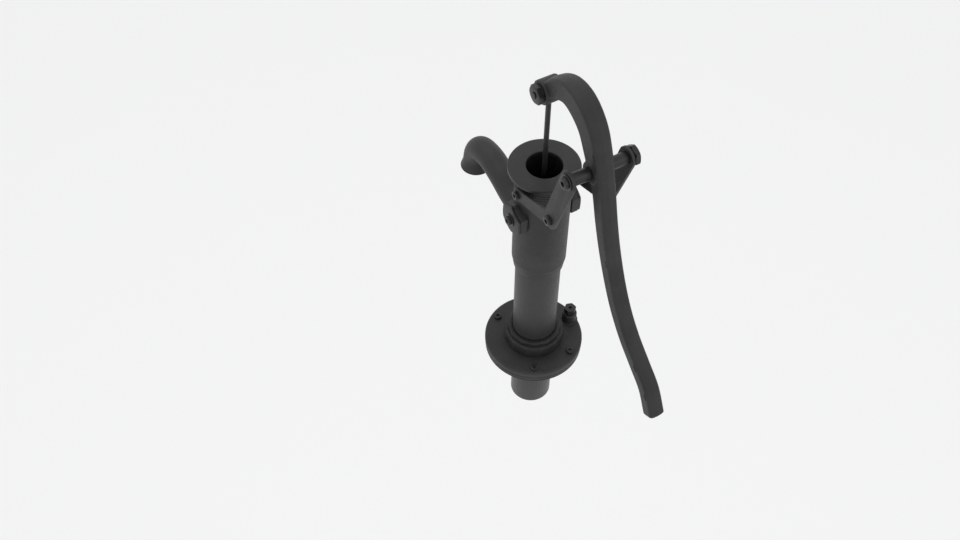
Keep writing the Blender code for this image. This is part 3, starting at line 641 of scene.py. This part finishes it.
# ---- head ------------------------------------------------------------------------------
def hexagon(flat, centre_z, corner_r=0.0022):
    points = []
    corner = flat / math.cos(math.pi / 6.0)
    for step in range(6):
        angle = math.pi / 6.0 + step * math.pi / 3.0
        reach = corner - corner_r / math.cos(math.pi / 6.0)
        centre = (reach * math.cos(angle), centre_z + reach * math.sin(angle))
        degrees = math.degrees(angle)
        points += arc_points(centre, corner_r, degrees - 30.0, degrees + 30.0, 4)
    return points


def make_head():
    bottom, top = low("pump_head").z, high("pump_head").z
    inner = TUBE_R + GAP
    step_z = high("pump_tube").z + GAP
    shoulder, neck = level(SHOULDER_HIGH), level(NECK_LOW)
    outline = [(inner, bottom), (inner + 0.0035, bottom), (HEAD_R - 0.0010, shoulder - 0.004)]
    outline += [(HEAD_R, shoulder), (HEAD_R, neck), (HEAD_R - 0.0016, neck + 0.0016), (HEAD_R - 0.0016, top)]
    outline += [(HEAD_BORE, top), (HEAD_BORE, step_z), (inner, step_z)]
    head = object_from(turned(rounded(outline, 0.0022, 4), 160), "pump_head_casting")
    boss_z = middle("side_plate_near").z
    flat = high("side_plate_near").x + 0.001
    face = high("pump_head").y
    for side, _, _ in SIDES:
        near, far = sorted((side * (HEAD_BORE + 0.0025), side * face))
        boss = object_from(plate(hexagon(flat, boss_z), near, far), "boss")
        bevelled(boss, 0.0012, 3, 60.0)
        boolean(head, boss, "UNION")
    axis = (0, 0, level(SPOUT_PATH[0].y))
    collar_r = SPOUT_R + 0.0055
    root, tip = HEAD_BORE + 0.003, -high("spout").x - GAP
    outline = [(0, root), (collar_r, root), (collar_r, tip), (0, tip)]
    collar = object_from(turned(rounded(outline, 0.0022), 96, axis, "-X"), "collar")
    boolean(head, collar, "UNION")
    drilled(head, SPOUT_R - SPOUT_WALL, 0.02, 0.1, axis, "-X", 64)
    upper = middle("upper_bolt_near")
    for x, z, radius in ((0.0, boss_z, 0.0048), (upper.x, upper.z, 0.0043)):
        drilled(head, radius, -0.08, 0.08, (x, 0.0, z), "Y")
    finished(head, STAND, "cast_dark", CAST, "pump_head")
    neck_length = low("head_cap").z - neck - 0.006
    thread("neck_thread", HEAD_R - 0.0016, neck_length, 0.0052, 0.0009, (0, 0, neck + 0.0035), "Z",
           STAND, "cast_dark", CAST)
    make_cap()
    make_side_plugs(boss_z)


def make_cap():
    bottom, top = low("head_cap").z, high("head_cap").z
    outline = [(CAP_HOLE, bottom), (CAP_R, bottom), (CAP_R, top), (CAP_HOLE, top)]
    cap = turned(rounded(outline, 0.0021, 5), 192)
    finished(object_from(cap, "head_cap_ring"), STAND, "cast_dark", MACHINED, "head_cap")


def make_side_plugs(boss_z):
    centre = (0.0, 0.0, boss_z)
    for _, name, along in SIDES:
        span = faces_along_y(f"side_plate_{name}")
        corner = high(f"side_plate_{name}").x / math.cos(math.pi / 6.0)
        nut = sided(6, corner, 0.0048, *span, centre, along, math.pi / 6.0, 96, 0.25)
        nut = object_from(nut, f"side_plate_hex_{name}")
        finished(nut, STAND, "cast_dark", MACHINED, f"side_plate_{name}")
        span = faces_along_y(f"side_washer_{name}")
        outline = [(0.0048, span[0]), (0.0125, span[0]), (0.0125, span[1]), (0.0048, span[1])]
        ring = object_from(turned(rounded(outline, 0.0005), 64, centre, along), f"side_washer_ring_{name}")
        finished(ring, STAND, "steel_dark", STEEL, f"side_washer_{name}")
        add_bolt(f"side_bolt_{name}", 0.0085, 0.0045, along, drive=0.55)


def add_bolt(node, head_r, shank_r, along, body=STAND, drive=0.5, head_t=None):
    """Socket bolt in place of a node that lies along Y; its head stands out along the given way."""
    way = -1 if along == "-Y" else 1
    outer = high(node).y if way > 0 else low(node).y
    inner = low(node).y if way > 0 else high(node).y
    thickness = head_t or BOLT_HEADS[node.rsplit("_", 1)[0]]
    seat = outer - way * thickness
    centre = middle(node)
    place = (centre.x, seat, centre.z)
    bolt = socket_head(head_r, thickness, shank_r, abs(seat - inner), place, along, drive)
    return finished(object_from(bolt, f"{node}_steel"), body, "steel_dark", STEEL, node)


# centre line of the spout, (x, height above the flange's top), from the head to the mouth
SPOUT_PATH = [Vector(point) for point in (
    (-0.0760, 0.3320), (-0.1050, 0.3370), (-0.1450, 0.3510), (-0.1850, 0.3590),
    (-0.2235, 0.3505), (-0.2435, 0.3235), (-0.2470, 0.2880))]


def make_spout():
    path = smooth_path(SPOUT_PATH, 12)
    sides, last = 72, len(path) - 1
    shells = []
    for inset in (0.0, SPOUT_WALL):
        loops = []
        for index, place in enumerate(path):
            ahead, behind = path[min(index + 1, last)], path[max(index - 1, 0)]
            tangent = Vector((ahead[0] - behind[0], 0.0, ahead[1] - behind[1])).normalized()
            if index == 0:
                tangent = Vector((-1.0, 0.0, 0.0))
            if index == last:
                tangent = Vector((0.0, 0.0, -1.0))
            outward = Vector((-tangent.z, 0.0, tangent.x))
            flare = max(0.0, (index - (last - 11)) / 11.0)
            radius = SPOUT_R + (MOUTH_R - SPOUT_R) * flare ** 2.4 - inset
            centre = Vector((place[0], 0.0, level(place[1])))
            turns = [2.0 * math.pi * step / sides for step in range(sides)]
            loops.append([centre + (Vector((0.0, math.cos(a), 0.0)) + outward * math.sin(a)) * radius
                          for a in turns])
        shells.append(loops)
    loops = shells[0] + shells[1][::-1]
    spout = bevelled(object_from(joined_loops(loops, True), "spout_casting"), 0.0008, 3, 40.0)
    finished(spout, STAND, "cast_dark", CAST, "spout")


# ---- fulcrum bracket ---------------------------------------------------------------------
def make_brackets():
    upper = (middle("upper_bolt_near").x, middle("upper_bolt_near").z)
    lower = (middle("lower_bolt_near").x, middle("lower_bolt_near").z)
    fulcrum = (FULCRUM.x, FULCRUM.z)
    for _, name, along in SIDES:
        node = f"fulcrum_bracket_{name}"
        near, far = low(node).y, high(node).y
        arm = object_from(plate(bar_outline(lower, 0.0175, fulcrum, 0.0190), near, far), "fulcrum_arm")
        strut = object_from(plate(bar_outline(upper, 0.0125, lower, 0.0150), near, far), "strut")
        boolean(arm, strut, "UNION")
        for place, radius in ((upper, 0.0043), (lower, 0.0043), (fulcrum, FULCRUM_HOLE)):
            drilled(arm, radius, -0.02, 0.02, (place[0], (near + far) / 2.0, place[1]), "Y")
        arm.name = f"bracket_plate_{name}"
        finished(bevelled(arm, 0.0010, 3, 50.0), STAND, "cast_dark", CAST, node)
        add_bolt(f"upper_bolt_{name}", 0.0082, 0.0040, along)
        add_bolt(f"lower_bolt_{name}", 0.0090, 0.0040, along)
        node = f"lower_nut_{name}"
        span = faces_along_y(node)
        nut = sided(6, 0.0085, 0.0043, *span, (lower[0], 0.0, lower[1]), along)
        finished(object_from(nut, f"lower_nut_hex_{name}"), STAND, "steel_dark", STEEL, node)


def ring_for(node, inner, outer, centre, along, body):
    """Steel washer or spacer in place of a node that lies along Y."""
    span = faces_along_y(node)
    outline = [(inner, span[0]), (outer, span[0]), (outer, span[1]), (inner, span[1])]
    ring = object_from(turned(rounded(outline, 0.0006), 72, centre, along), f"{node}_ring")
    return finished(ring, body, "steel_dark", STEEL, node)


def make_fulcrum():
    centre = (FULCRUM.x, 0.0, FULCRUM.z)
    for _, name, along in SIDES:
        ring_for(f"fulcrum_spacer_{name}", FULCRUM_HOLE, 0.0112, centre, along, STAND)
        ring_for(f"fulcrum_washer_{name}", FULCRUM_HOLE, 0.0150, centre, along, STAND)
    span = (low("fulcrum_nut").y, high("fulcrum_nut").y)
    nut = sided(6, 0.0185, FULCRUM_HOLE, *span, centre, "Y", 0.35)
    finished(object_from(nut, "fulcrum_nut_hex"), STAND, "steel_dark", STEEL, "fulcrum_nut")
    add_bolt("fulcrum_pin", 0.0105, 0.0065, "-Y", head_t=0.0060)
    end = high("fulcrum_pin").y
    thread("fulcrum_pin_thread", 0.0064, 0.0015, 0.0011, 0.00022, (centre[0], end - 0.0017, centre[2]), "Y",
           STAND, "steel_dark", STEEL)


# ---- handle ------------------------------------------------------------------------------
# stations along the handle: x, height above the flange's top, width along Y, depth
HANDLE_STATIONS = [Vector(station) for station in (
    (0.0080, 0.6860, 0.0300, 0.0300), (0.0330, 0.7130, 0.0330, 0.0360), (0.0640, 0.7280, 0.0350, 0.0400),
    (0.0960, 0.7240, 0.0365, 0.0430), (0.1260, 0.7020, 0.0360, 0.0410), (0.1460, 0.6670, 0.0350, 0.0380),
    (0.1630, 0.6260, 0.0325, 0.0340), (0.1745, 0.5980, 0.0310, 0.0300), (0.1900, 0.5440, 0.0308, 0.0285),
    (0.2080, 0.4920, 0.0303, 0.0275), (0.2332, 0.4349, 0.0298, 0.0270), (0.2603, 0.3881, 0.0298, 0.0265),
    (0.2934, 0.3480, 0.0298, 0.0265), (0.3320, 0.3140, 0.0298, 0.0265), (0.3640, 0.2850, 0.0300, 0.0265),
    (0.3885, 0.2410, 0.0303, 0.0265))]


def handle_section(width, depth, steps=6, corner=0.0055, crown=0.0012):
    """Rounded rectangle with a slight crown on its outer face."""
    half_w, half_t = width / 2.0, depth / 2.0
    points = []
    for quarter, (sign_w, sign_t) in enumerate(((1, 1), (-1, 1), (-1, -1), (1, -1))):
        for step in range(steps + 1):
            angle = math.radians(90.0 * quarter + 90.0 * step / steps)
            points.append((sign_w * (half_w - corner) + corner * math.cos(angle),
                           sign_t * (half_t - corner) + corner * math.sin(angle)))
        if quarter in (0, 2):
            points.append((0.0, sign_t * (half_t + (crown if quarter == 0 else 0.0))))
    return points


def make_handle():
    stations = smooth_path(HANDLE_STATIONS, 10)
    heading = Vector((stations[-1] - stations[-2])[:2]).normalized()
    loops = []
    for index, station in enumerate(stations):
        ahead = stations[min(index + 1, len(stations) - 1)]
        behind = stations[max(index - 1, 0)]
        tangent = Vector((ahead[0] - behind[0], 0.0, ahead[1] - behind[1])).normalized()
        outward = Vector((-tangent.z, 0.0, tangent.x))
        centre = Vector((station[0], 0.0, level(station[1])))
        loops.append([centre + Vector((0.0, side, 0.0)) + outward * out
                      for side, out in handle_section(station[2], station[3])])
    tail = Vector((heading.x, 0.0, heading.y)) * TAIL_CHAMFER
    centre = Vector((stations[-1][0], 0.0, level(stations[-1][1])))
    loops.append([centre + (point - centre) * TAIL_SCALE + tail for point in loops[-1]])
    bm = bmesh.new()
    rings = [[bm.verts.new(point) for point in loop] for loop in loops]
    for ring, following in zip(rings, rings[1:]):
        for step in range(len(ring)):
            after = (step + 1) % len(ring)
            bm.faces.new((ring[step], ring[after], following[after], following[step]))
    bm.faces.new(rings[0])
    bm.faces.new(rings[-1])
    handle = object_from(bm, "handle_casting")
    boss_half = low("rod_pin_washer_far").y - GAP
    hub_half = high("handle_bush").y
    for place, radius, half in ((ROD_PIN, BOSS_R, boss_half), (FULCRUM, HUB_R, hub_half)):
        outline = [(0, -half), (radius, -half), (radius, half), (0, half)]
        boss = turned(rounded(outline, 0.0015), 96, (place.x, 0.0, place.z), "Y")
        boolean(handle, object_from(boss, "boss"), "UNION")
    cast_skin(handle, 0.0013, 6)
    for place, radius in ((ROD_PIN, ROD_PIN_HOLE), (FULCRUM, 0.0097)):
        drilled(handle, radius, -0.03, 0.03, (place.x, 0.0, place.z), "Y", 48)
    boolean(handle, object_from(rod_slot(), "slot"), "DIFFERENCE")
    for share in CASTING_MARKS:
        boolean(handle, object_from(casting_mark(stations, share), "mark"), "UNION")
    finished(handle, HANDLE, "cast_dark", CAST, "handle", sharp=40.0)


# where small ridges of flash stand on the handle's near side, as shares of its run of stations
CASTING_MARKS = (0.34, 0.62, 0.87, 0.95)


def casting_mark(stations, share):
    """Short ridge left by the mould on the near side face, close under the outer face."""
    index = round(share * (len(stations) - 1))
    station, behind = stations[index], stations[index - 1]
    tangent = Vector((station[0] - behind[0], 0.0, station[1] - behind[1])).normalized()
    outward = Vector((-tangent.z, 0.0, tangent.x))
    face = Vector((station[0], -station[2] / 2.0, level(station[1]))) + outward * (station[3] / 2.0 - 0.0068)
    near, far = [], []
    for step in range(12):
        angle = 2.0 * math.pi * step / 12
        point = face + tangent * (0.0062 * math.cos(angle)) + outward * (0.0010 * math.sin(angle))
        near.append(point + Vector((0.0, -0.0007, 0.0)))
        far.append(point + Vector((0.0, 0.0012, 0.0)) + (point - face) * 0.15)
    return close_ends(joined_loops([near, far], False))


def rod_slot():
    """Slot for the rod's eye, open downwards and towards the spout for the handle's swing."""
    reach, clear = 0.034, EYE_R + 0.0012
    centre = (ROD_PIN.x, ROD_PIN.z)
    outline = arc_points(centre, clear, 0.0, 185.0, 24)
    outline += [(-reach, centre[1] - clear * 0.1), (-reach, centre[1] - reach * 0.80)]
    outline += [(-clear * 0.6, centre[1] - reach), (clear, centre[1] - reach)]
    return plate(outline, -SLOT_HALF, SLOT_HALF)


def make_rod_pin():
    centre = (ROD_PIN.x, 0.0, ROD_PIN.z)
    for _, name, along in SIDES:
        ring_for(f"rod_pin_washer_{name}", ROD_PIN_HOLE, 0.0160, centre, along, HANDLE)
    span = faces_along_y("rod_pin_nut")
    nut = sided(6, 0.0180, ROD_PIN_HOLE, *span, centre, "-Y", 0.25)
    finished(object_from(nut, "rod_pin_nut_hex"), HANDLE, "steel_dark", STEEL, "rod_pin_nut")
    add_bolt("rod_pin", 0.0140, 0.0052, "Y", HANDLE, head_t=0.0080)
    end = low("rod_pin").y
    thread("rod_pin_thread", 0.0051, 0.0013, 0.0010, 0.0002, (centre[0], end + 0.0015, centre[2]), "-Y",
           HANDLE, "steel_dark", STEEL)


def make_rod():
    foot, top = low("pump_rod").z + 0.0098, ROD_PIN.z
    rod_r = 0.00475
    outline = [(0, -EYE_HALF), (EYE_R, -EYE_HALF), (EYE_R, EYE_HALF), (0, EYE_HALF)]
    eye = turned(rounded(outline, 0.0008), 64, (0, 0, top), "Y")
    bar = object_from(eye, "pump_rod_bar")
    shaft = turned([(0, foot + 0.0085), (rod_r, foot + 0.0085), (rod_r, top - 0.0070), (0, top - 0.0070)], 48)
    boolean(bar, object_from(shaft, "shaft"), "UNION")
    play, slot_r, rim = 0.0092, 0.0050, 0.0048
    for radius, reach, way in ((slot_r + rim, EYE_HALF, "UNION"), (slot_r, 0.02, "DIFFERENCE")):
        outline = arc_points((play, foot), radius, -90.0, 90.0, 16)
        outline += arc_points((-play, foot), radius, 90.0, 270.0, 16)
        boolean(bar, object_from(plate(outline, -reach, reach), "foot"), way)
    drilled(bar, 0.00526, -0.02, 0.02, (0, 0, top), "Y", 48)
    finished(bar, ROD, "steel_dark", STEEL, "pump_rod")


def finish_inner_nodes():
    """The pieces inside the barrel keep their CAD shape and take a worked metal or leather finish."""
    finishes = {"bronze": BRONZE, "cup_leather": LEATHER, "steel_dark": STEEL}
    shown = ("barrel_liner", "plunger_body", "cup_follower", "plunger_valve", "foot_valve_seat", "foot_valve",
             "handle_bush", "crosshead_pin", "cup_leather")
    slots = {part["node"]: part["material_slot"] for part in frame["record"]["subparts"]}
    for node in shown:
        obj = frame["nodes"][node]
        for place in obj.material_slots:
            place.material = finishes[slots[node]]


# ---- studio ------------------------------------------------------------------------------
LENS, SENSOR = 40.9, 36.0
CAMERA_AT = Vector((1.1106, -0.7491, level(1.8747)))
CAMERA_AIM = Vector((-0.0928, -0.0772, level(0.1600)))


def make_studio():
    bpy.context.scene.view_settings.view_transform = "Standard"
    camera = bpy.data.objects.new("camera", bpy.data.cameras.new("camera"))
    bpy.context.scene.collection.objects.link(camera)
    camera.data.lens = LENS
    camera.data.sensor_width = SENSOR
    camera.location = CAMERA_AT
    camera.rotation_euler = (CAMERA_AIM - CAMERA_AT).to_track_quat("-Z", "Y").to_euler()
    bpy.context.scene.camera = camera
    world = bpy.data.worlds.new("studio")
    bpy.context.scene.world = world
    world.use_nodes = True
    world.node_tree.nodes["Background"].inputs["Color"].default_value = (0.955, 0.96, 0.965, 1.0)
    world.node_tree.nodes["Background"].inputs["Strength"].default_value = 1.0
    floor_mesh = bpy.data.meshes.new("floor")
    reach = 80.0
    z = CAD_BOX[0].z - 2.4
    floor_mesh.from_pydata([(-reach, -reach, z), (reach, -reach, z), (reach, reach, z), (-reach, reach, z)],
                           [], [(0, 1, 2, 3)])
    floor = bpy.data.objects.new("floor", floor_mesh)
    bpy.context.scene.collection.objects.link(floor)
    pale = bpy.data.materials.new("floor_pale")
    pale.use_nodes = True
    pale.node_tree.nodes["Principled BSDF"].inputs["Base Color"].default_value = (0.9, 0.9, 0.9, 1.0)
    pale.node_tree.nodes["Principled BSDF"].inputs["Roughness"].default_value = 0.9
    floor_mesh.materials.append(pale)
    centre = (CAD_BOX[0] + CAD_BOX[1]) / 2.0
    lamps = (("key", (-1.6, -0.6, 3.2), 3.0, 14.0), ("fill", (2.6, 1.2, 2.2), 2.5, 9.0))
    for name, place, size, power in lamps:
        lamp = bpy.data.objects.new(name, bpy.data.lights.new(name, "AREA"))
        lamp.data.shape = "DISK"
        lamp.data.size = size
        lamp.data.energy = power
        lamp.location = centre + Vector(place)
        lamp.rotation_euler = (-Vector(place)).to_track_quat("-Z", "Y").to_euler()
        bpy.context.scene.collection.objects.link(lamp)


make_flange()
make_pipes()
make_locknuts()
make_head()
make_spout()
make_brackets()
make_fulcrum()
make_handle()
make_rod_pin()
make_rod()
finish_inner_nodes()
make_studio()
